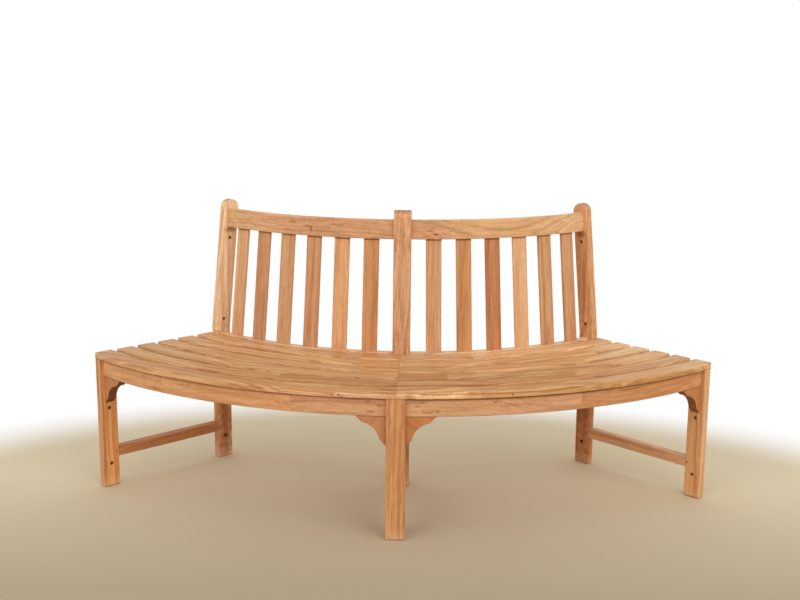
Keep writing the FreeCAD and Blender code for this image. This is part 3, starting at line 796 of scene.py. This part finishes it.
# Each mark on an apron: its angle and height, half its length and width, and its stain.
apron_marks = {
    "left": (
        (2.0, 0.397, 0.012, 0.006, dark_knot),
        (3.4, 0.409, 0.014, 0.005, dark_knot),
        (3.0, 0.379, 0.016, 0.004, dark_knot),
        (43.0, 0.404, 0.050, 0.012, pale_knot),
        (33.0, 0.375, 0.050, 0.006, dark_knot)),
    "right": (
        (1.9, 0.404, 0.018, 0.005, pale_knot),
        (2.6, 0.388, 0.022, 0.005, pale_knot),
        (3.2, 0.407, 0.014, 0.004, dark_knot),
        (2.6, 0.396, 0.012, 0.004, dark_knot),
        (3.8, 0.378, 0.026, 0.005, dark_knot),
        (5.0, 0.381, 0.010, 0.006, dark_knot),
        (12.0, 0.405, 0.010, 0.006, dark_knot),
        (13.0, 0.391, 0.022, 0.003, dark_knot),
        (13.2, 0.404, 0.022, 0.006, pale_knot),
        (30.5, 0.412, 0.070, 0.0025, pale_knot),
        (30.5, 0.407, 0.070, 0.0018, dark_knot),
        (43.0, 0.390, 0.060, 0.020, pale_knot))}

halves = {"left": -1, "right": 1}
overrun = math.radians(4)
ring_steps = 44
square_corner = 1.2


def everything(bm):
    """All that a shape is made of."""
    return bm.verts[:] + bm.edges[:] + bm.faces[:]


def ring_bar(radius, height, leaning):
    """A square section turned about the ring's axis, a little past both ends of the right half."""
    bm = bmesh.new()
    (inner, outer), (low, high) = radius, height
    bm.faces.new([bm.verts.new(corner) for corner in (
        (0, -inner, low), (0, -outer, low), (0, -outer, high), (0, -inner, high))])
    if leaning:
        lean_back(bm)
    bmesh.ops.rotate(bm, matrix=Matrix.Rotation(-overrun, 3, "Z"), verts=bm.verts)
    bmesh.ops.spin(bm, geom=everything(bm), axis=(0, 0, 1), angle=half_angle + 2 * overrun,
                   steps=ring_steps)
    bmesh.ops.recalc_face_normals(bm, faces=bm.faces)
    return bm


def saw_off(bm, point, outward):
    """Saw off what lies past a plane, and close the cut."""
    bmesh.ops.bisect_plane(bm, geom=everything(bm), plane_co=point, plane_no=outward, clear_outer=True)
    bmesh.ops.holes_fill(bm, edges=[edge for edge in bm.edges if edge.is_boundary], sides=0)


def half_ring(radius, height, joints=(), leaning=False, brow=None, under=None, start=leg_width / 2,
              end=-end_leg_width, arris=rail_arris, end_arris=joint_line):
    """A curved board of the right half: trimmed at its two frames, eased, and parted at its glue joints.

    The outer top edge may have a rounding of its own, the brow, and so may the two edges underneath."""
    bm = ring_bar(radius, height, leaning)
    saw_off(bm, (start, 0, 0), (-1, 0, 0))
    end_normal = tangent(half_angle)
    saw_off(bm, end_normal * end, end_normal)

    def is_end(face):
        return face.normal.x < -0.999 or face.normal.dot(end_normal) > 0.999

    def long_edges():
        return [edge for edge in bm.edges if edge.calc_face_angle(0) > square_corner
                and not any(is_end(face) for face in edge.link_faces)]

    mid_radius = sum(radius) / 2
    mid_height = sum(height) / 2
    if brow:
        ease(bm, [edge for edge in long_edges() if all(
            v.co.xy.length > mid_radius and v.co.z > mid_height for v in edge.verts)], brow, 4)
    if under:
        ease(bm, [edge for edge in long_edges() if all(v.co.z < mid_height for v in edge.verts)], under)
    ease(bm, long_edges(), arris)
    ends = [edge for edge in bm.edges if sum(is_end(face) for face in edge.link_faces) == 1]
    ease(bm, ends, end_arris, 2)
    for joint in joints:
        bmesh.ops.bisect_plane(bm, geom=everything(bm), plane_co=(0, 0, 0),
                               plane_no=tangent(math.radians(joint)))
    for face in bm.faces:
        middle = face.calc_center_median()
        at = math.degrees(math.atan2(middle.x, -middle.y))
        face.material_index = sum(at > joint for joint in joints)
    return bm


def lengths_of(name, tones, joints, side, radius, height, face=None, marks=(), **looks):
    """The wood of each straight-grained length of a curved board, from the centre frame outwards.

    A mark is its angle, its radius and height, half its length and width, and its stain."""
    edges = (0.0, *joints, math.degrees(half_angle))
    woods = []
    for tone, low, high in zip(tones, edges, edges[1:]):
        angle = side * math.radians((low + high) / 2)
        own_marks = [(ring_point(side * math.radians(at), 0, *place), tangent(side * math.radians(at)),
                      *rest) for at, place, *rest in marks if low <= at < high]
        woods.append(teak(name + "_" + str(len(woods) + 1), tone, ring_point(angle, 0, radius, height),
                          tangent(angle), face or radial(angle), marks=own_marks, **looks))
    return woods


def settle(bm, side):
    """Turn a shape of the right half over for the left one, and put it where the bench stands."""
    if side < 0:
        bmesh.ops.scale(bm, vec=(-1, 1, 1), verts=bm.verts)
    bmesh.ops.recalc_face_normals(bm, faces=bm.faces)
    bmesh.ops.translate(bm, vec=(0, ring_axis_y, 0), verts=bm.verts)


for half_name, side in halves.items():
    name = "front_apron_" + half_name
    joints = apron_joints[half_name]
    bm = half_ring(apron_radius, apron_height, joints, brow=apron_brow)
    settle(bm, side)
    marks = [(at, (apron_radius[1], height), *rest) for at, height, *rest in apron_marks[half_name]]
    woods = lengths_of(name, apron_teak[half_name], joints, side, sum(apron_radius) / 2,
                       sum(apron_height) / 2, marks=marks, contrast=0.7, tint=apron_top_shade[half_name])
    make_piece(bm, name, woods)


# Two curved rails hold the feet of the back slats at seat level, and two more hold their heads
# and lean with the posts. All four are teak, sawn to the curve and tenoned into the posts.
back_rail_radius = (0.879, 0.907)
lower_rail_height = (0.385, 0.440)
top_rail_height = (0.801, 0.863)
cream = shade(216, 177, 134)
lower_rail_teak = {"left": straw, "right": cream}
top_rail_teak = {"left": honey, "right": straw}
knot = (0.58, 0.45, 0.34)
rail_face = (0.870, 0.832)
top_rail_marks = {
    "left": (
        (36.0, rail_face, 0.30, 0.10, (1.13, 1.21, 1.28)),
        (42.0, rail_face, 0.05, 0.10, (1.05, 1.12, 1.14)),
        (24.2, (0.864, 0.839), 0.018, 0.004, knot),
        (19.8, (0.866, 0.821), 0.006, 0.014, knot),
        (20.8, (0.865, 0.828), 0.016, 0.006, dark_knot),
        (14.0, (0.864, 0.837), 0.034, 0.0035, dark_knot)),
    "right": (
        (4.0, rail_face, 0.22, 0.10, (0.88, 0.84, 0.86)),
        (41.0, rail_face, 0.16, 0.10, (1.08, 1.14, 1.22)),
        (5.7, (0.865, 0.824), 0.018, 0.004, dark_knot),
        (6.9, (0.867, 0.813), 0.012, 0.005, knot))}
back_slat_width = 0.049
back_slat_thickness = 0.011
back_slat_arris = 0.002
back_slat_height = (0.4311, 0.813)
back_slat_middle = sum(back_rail_radius) / 2
back_slat_count = 6
housing_clearance = 0.0005
first_edge = math.asin(leg_width / 2 / back_slat_middle)
last_edge = half_angle - math.asin(end_leg_width / back_slat_middle)
slat_share = back_slat_width / back_slat_middle
gap_share = (last_edge - first_edge - back_slat_count * slat_share) / (back_slat_count + 1)
back_slat_angles = [first_edge + gap_share + slat_share / 2 + index * (slat_share + gap_share)
                    for index in range(back_slat_count)]


def back_slat_shape(angle, spare=0.0):
    """A back slat where it stands, or with some spare the housing for it in a rail."""
    half_width = back_slat_width / 2 + spare
    half_thickness = back_slat_thickness / 2 + spare
    bm = squared((-half_width, half_width),
                 (back_slat_middle - half_thickness, back_slat_middle + half_thickness),
                 (back_slat_height[0] - spare, back_slat_height[1] + spare))
    ease(bm, edges_along(bm, 2), back_slat_arris)
    lean_back(bm)
    stand(bm, angle)
    return bm


def back_rail(name, tone, side, height, leaning=False, **looks):
    """A curved rail between two posts, with a housing for each back slat."""
    bm = half_ring(back_rail_radius, height, leaning=leaning)
    settle(bm, side)
    woods = lengths_of(name, (tone,), (), side, back_slat_middle, sum(height) / 2, **looks)
    make_piece(bm, name, woods,
               [back_slat_shape(side * angle, housing_clearance) for angle in back_slat_angles])


for half_name, side in halves.items():
    back_rail("lower_back_rail_" + half_name, lower_rail_teak[half_name], side, lower_rail_height)
    back_rail("top_rail_" + half_name, top_rail_teak[half_name], side, top_rail_height, leaning=True,
              contrast=0.7, veins=0.3, marks=top_rail_marks[half_name])


# A straight bearer runs under the middle of each half, from the apron to the lower back rail.
# It is teak, doweled at both ends, and carries the slats on screws from below.
bearer_thickness = 0.028
bearer_run = (0.9072, 1.3217)

for half_name, side in halves.items():
    straight_rail("seat_bearer_" + half_name, tan, side * half_angle / 2, 0, bearer_thickness,
                  bearer_run, side_rail_height, screws=[0])


# Twelve flat back slats of teak, six a side, stand in housings in the lower and top rails. Each
# comes from another board, so they differ in colour and figure. Their long edges are rounded.
rust = shade(189, 128, 84)
back_slat_teak = {"left": (ochre, amber, tan, honey, tan, straw),
                  "right": (honey, ochre, rust, straw, honey, honey)}
# Each back slat's head, just under the top rail, is darkened by a painted shadow of the rail.
head_shadow = (0.7900, 0.7945, shadow_brown, 0.7)
back_slat_axis_heights = (0.50, 0.62, 0.80)

for half_name, side in halves.items():
    for index, tone in enumerate(back_slat_teak[half_name]):
        name = "back_slat_" + half_name + "_" + str(index + 1)
        angle = side * back_slat_angles[index]
        foot, middle, head = [back_point(angle, 0, back_slat_middle, height)
                              for height in back_slat_axis_heights]
        along = (head - foot).normalized()
        wood = teak(name, tone, middle, along, radial(angle) - along * radial(angle).dot(along),
                    contrast=0.8, tint=head_shadow)
        make_piece(back_slat_shape(angle), name, [wood])


# Pegs go in from behind and lock the tenons of the lower and top rails in the posts.
# They are turned from teak, and their heads are sanded flush with the posts' backs.
woods = []
shapes = []
for side in frame_sides.values():
    angle = side * half_angle
    shapes += [peg(low, high, rail_peg_depth, wood_number=len(woods)) for low, high in rail_peg_runs(side)]
    woods.append(teak("rail_peg_" + str(side + 1), peg_color, ring_point(angle, 0, post_back, 0.5),
                      radial(angle), upward))
make_piece(joined(shapes), "rail_pegs", woods)


# Four corner brackets brace the aprons: one each side of the centre leg, and one inside each end
# leg. They are sawn from teak with a hollow curve between two straight tips, and doweled.
bracket_leg = 0.087
bracket_tip = 0.026 * math.sqrt(0.5)
bracket_throat = 0.050 * math.sqrt(0.5)
bracket_radius = (1.318, 1.348)
bracket_arris = 0.0012
bracket_corner = 0.6
bracket_strips = 9
hollow_steps = 10
copper = shade(191, 125, 75)
bracket_teak = {"left": rust, "right": copper}
# The brackets' hollow undersides and the other faces round their outline are darkened as painted shade.
bracket_edge_stain = {"left": (0.66, 0.64, 0.52), "right": (0.84, 0.82, 0.76)}


def bracket_outline():
    """A bracket from the front, across and up from its square corner: two tips and the hollow."""
    far = bracket_leg - bracket_tip
    centre = far ** 2 + bracket_tip ** 2 - 2 * bracket_throat ** 2
    centre /= 2 * (bracket_leg - 2 * bracket_throat)
    radius = math.sqrt(2) * (centre - bracket_throat)
    start = math.atan2(centre - bracket_tip, far - centre)
    end = math.atan2(centre - far, bracket_tip - centre)
    angles = [start + (end - start) * step / hollow_steps for step in range(hollow_steps + 1)]
    hollow = [(centre + radius * math.cos(angle), -centre + radius * math.sin(angle)) for angle in angles]
    return [(0, 0), (bracket_leg, 0)] + hollow + [(0, -bracket_leg)]


def bracket_shape(shift):
    """A bracket moved across its frame by a shift, and bent to the ring between its two radii."""
    bm = bmesh.new()
    face = bm.faces.new([bm.verts.new((x, -bracket_radius[0], apron_height[0] + z))
                         for x, z in bracket_outline()])
    drawn_out(bm, face, (0, bracket_radius[0] - bracket_radius[1], 0))
    bmesh.ops.recalc_face_normals(bm, faces=bm.faces)
    ease(bm, [edge for edge in bm.edges if edge.calc_face_angle(0) > bracket_corner], bracket_arris, 2)
    for cut in range(1, bracket_strips):
        bmesh.ops.bisect_plane(bm, geom=everything(bm), plane_co=(bracket_leg * cut / bracket_strips, 0, 0),
                               plane_no=(1, 0, 0))
    for vertex in bm.verts:
        depth = -vertex.co.y
        vertex.co.x += shift
        vertex.co.y = -math.sqrt(depth ** 2 - vertex.co.x ** 2)
    return bm


for kind, shift, direction in (("inner", leg_width / 2, 1), ("outer", end_leg_width, -1)):
    for half_name, side in halves.items():
        name = kind + "_bracket_" + half_name
        bm = bracket_shape(shift)
        angle = 0
        if kind == "outer":
            angle = side * half_angle
            bmesh.ops.scale(bm, vec=(-1, 1, 1), verts=bm.verts)
            bmesh.ops.rotate(bm, matrix=Matrix.Rotation(half_angle, 3, "Z"), verts=bm.verts)
        settle(bm, side)
        slope = tangent(angle) * side * direction * math.sqrt(0.5) - upward * math.sqrt(0.5)
        middle = ring_point(angle, side * direction * (shift + bracket_throat), leg_middle,
                            apron_height[0] - bracket_throat)
        wood = teak(name, bracket_teak[half_name], middle, slope, radial(angle), contrast=0.3,
                    edge_stain=bracket_edge_stain[half_name])
        make_piece(bm, name, [wood])


# Twelve curved seat slats, six a side, meet at a fine seam over the centre frame. Each is glued
# up end to end from straight-grained lengths of teak, sawn to the curve, rounded over and sanded,
# then screwed down from below, apart from the front ones, which are doweled.
seat_slat_height = (0.420, 0.440)
seat_slat_arris = 0.004
seat_slat_under_arris = 0.003
seam_arris = 0.0003
half_seam = 0.0002
most_low = 0.0004
most_short = 0.0016
deep = shade(181, 130, 82)
dull = shade(188, 137, 88)
warm = shade(197, 143, 88)
plain = shade(195, 147, 98)
light = shade(203, 153, 103)
pale = shade(211, 167, 117)
bleached = shade(219, 172, 119)

# From the front slat to the rear one: each one's glue joints' angles, and its lengths' tones.
slat_joints = {"left": ((7.2, 14.0), (16.2, 28.0), (25.0,), (5.9,), (6.9,), (7.6,)),
               "right": ((28.7,), (12.0, 25.0), (7.0, 33.0), (7.5, 31.0), (9.5,), (13.5,))}
seat_slat_teak = {
    "left": ((dull, plain, dull), (deep, dull, plain), (plain, plain), (warm, plain), (warm, light),
             (warm, light)),
    "right": ((plain, plain), (deep, deep, plain), (deep, plain, light), (dull, light, pale),
              (light, light), (light, bleached))}

plug_angles = {"left": (6.83, 7.63), "right": (13.98,)}
plug_height = 0.4275
plug_radius = 0.0028
plug_depth = 0.005
plug_rim = 0.0003
brown_streak = (0.72, 0.62, 0.50)
# Painted highlights along the front slats' front edges.
edge_highlight = (1.20, 1.36, 1.72)
right_edge_highlight = (1.36, 1.64, 2.18)

# The marks on single slats, by half and number, where the front slat is 0.
seat_slat_marks = {
    ("left", 0): ((1.0, (1.334, 0.440), 0.042, 0.017, brown_streak),
                  (5.0, (1.360, 0.430), 0.140, 0.014, edge_highlight)),
    ("right", 0): ((5.5, (1.360, 0.430), 0.220, 0.012, right_edge_highlight),),
    ("left", 4): ((26.3, (1.000, 0.440), 0.030, 0.018, brown_streak),),
    ("left", 5): ((36.0, (0.955, 0.440), 0.060, 0.008, brown_streak),)}

# The slats' outer ends get a pale, bluish painted sheen.
end_sheen = {"left": (1.01, 1.08, 1.16), "right": (1.08, 1.22, 1.38)}
end_sheen_count = {"left": 4, "right": 5}
end_sheen_angle = 43.0
end_sheen_patch = (0.17, 0.12)
# Painted light: the slats' front and back edge faces are painted lighter than their tops, most of all on
# the left front slat.
front_edge_stain = {"left": (1.26, 1.33, 1.58), "right": (1.08, 1.04, 0.98)}
slat_edge_stain = (1.12, 1.15, 1.18)


def plug_run(side, at, sunk=0.0):
    """Where a plug in a front slat's edge starts and ends, at an angle from the centre frame."""
    return [ring_point(side * math.radians(at), 0, radius, plug_height)
            for radius in (outer_radius - sunk, outer_radius - plug_depth)]


for half_name, side in halves.items():
    for index in range(seat_slat_count):
        name = "seat_slat_" + half_name + "_" + str(index + 1)
        joints = slat_joints[half_name][index]
        outer = outer_radius - index * slat_pitch
        middle = outer - seat_slat_width / 2
        lower_by = chance.uniform(0, most_low)
        short_by = chance.uniform(0, most_short) if index else 0
        height = (seat_slat_height[0] - lower_by, seat_slat_height[1] - lower_by)
        bm = half_ring((outer - seat_slat_width, outer), height, joints, under=seat_slat_under_arris,
                       start=half_seam, end=-short_by, arris=seat_slat_arris, end_arris=seam_arris)
        settle(bm, side)
        marks = list(seat_slat_marks.get((half_name, index), ()))
        if index < end_sheen_count[half_name]:
            marks.append((end_sheen_angle, (middle, seat_height), *end_sheen_patch, end_sheen[half_name]))
        woods = lengths_of(name, seat_slat_teak[half_name][index], joints, side, middle, seat_height,
                           upward, marks, contrast=1.5,
                           edge_stain=slat_edge_stain if index else front_edge_stain[half_name])
        plug_holes = [drill(*plug_run(side, at), plug_radius, plug_rim, through=False)
                      for at in plug_angles[half_name] if index == 0]
        make_piece(bm, name, woods, plug_holes)


# Three small holes in the front slats' edges are stopped with turned teak plugs, cut flush.
# They sit a hair below the surface, so each shows as a brown dot with a fine dark line.
plug_color = shade(160, 112, 66)
plug_clearance = 0.0001
plug_nose = 0.0003

shapes = [peg(*plug_run(side, at, plug_clearance), plug_depth, plug_radius - plug_clearance, plug_nose)
          for half_name, side in halves.items() for at in plug_angles[half_name]]
wood = teak("edge_plug", plug_color, ring_point(0, 0, outer_radius, plug_height), (0, 1, 0), upward)
make_piece(joined(shapes), None, [wood], piece_name="edge_plugs")


# Steel screws sit deep in their holes under the rails, and teak dowels are hidden in the joints
# of the front slats, bearers and brackets. These keep the shapes of the CAD model.
bright_steel = shade(196, 192, 184)
dull_steel = shade(150, 144, 134)
steel_roughness = (0.28, 0.5)

steel = bpy.data.materials.new("screw_steel")
steel.use_nodes = True
tree = steel.node_tree
place = add(tree, "TexCoord").outputs["Object"]
smears = add(tree, "TexNoise", {"Vector": place, "Scale": 400.0}).outputs["Fac"]
feed(tree.nodes["Principled BSDF"], {
    "Metallic": 1.0, "Roughness": climb(tree, smears, 0.0, 1.0, *steel_roughness),
    "Base Color": mixed(tree, smears, bright_steel, dull_steel)})
dowel_wood = teak("dowel_wood", peg_color, (0, 0, 0), upward, (0, 1, 0))
for node_name in ("front_slat_dowels", "bearer_dowels", "bracket_dowels", "slat_screws"):
    for material_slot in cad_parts[node_name].material_slots:
        material_slot.material = steel if node_name == "slat_screws" else dowel_wood
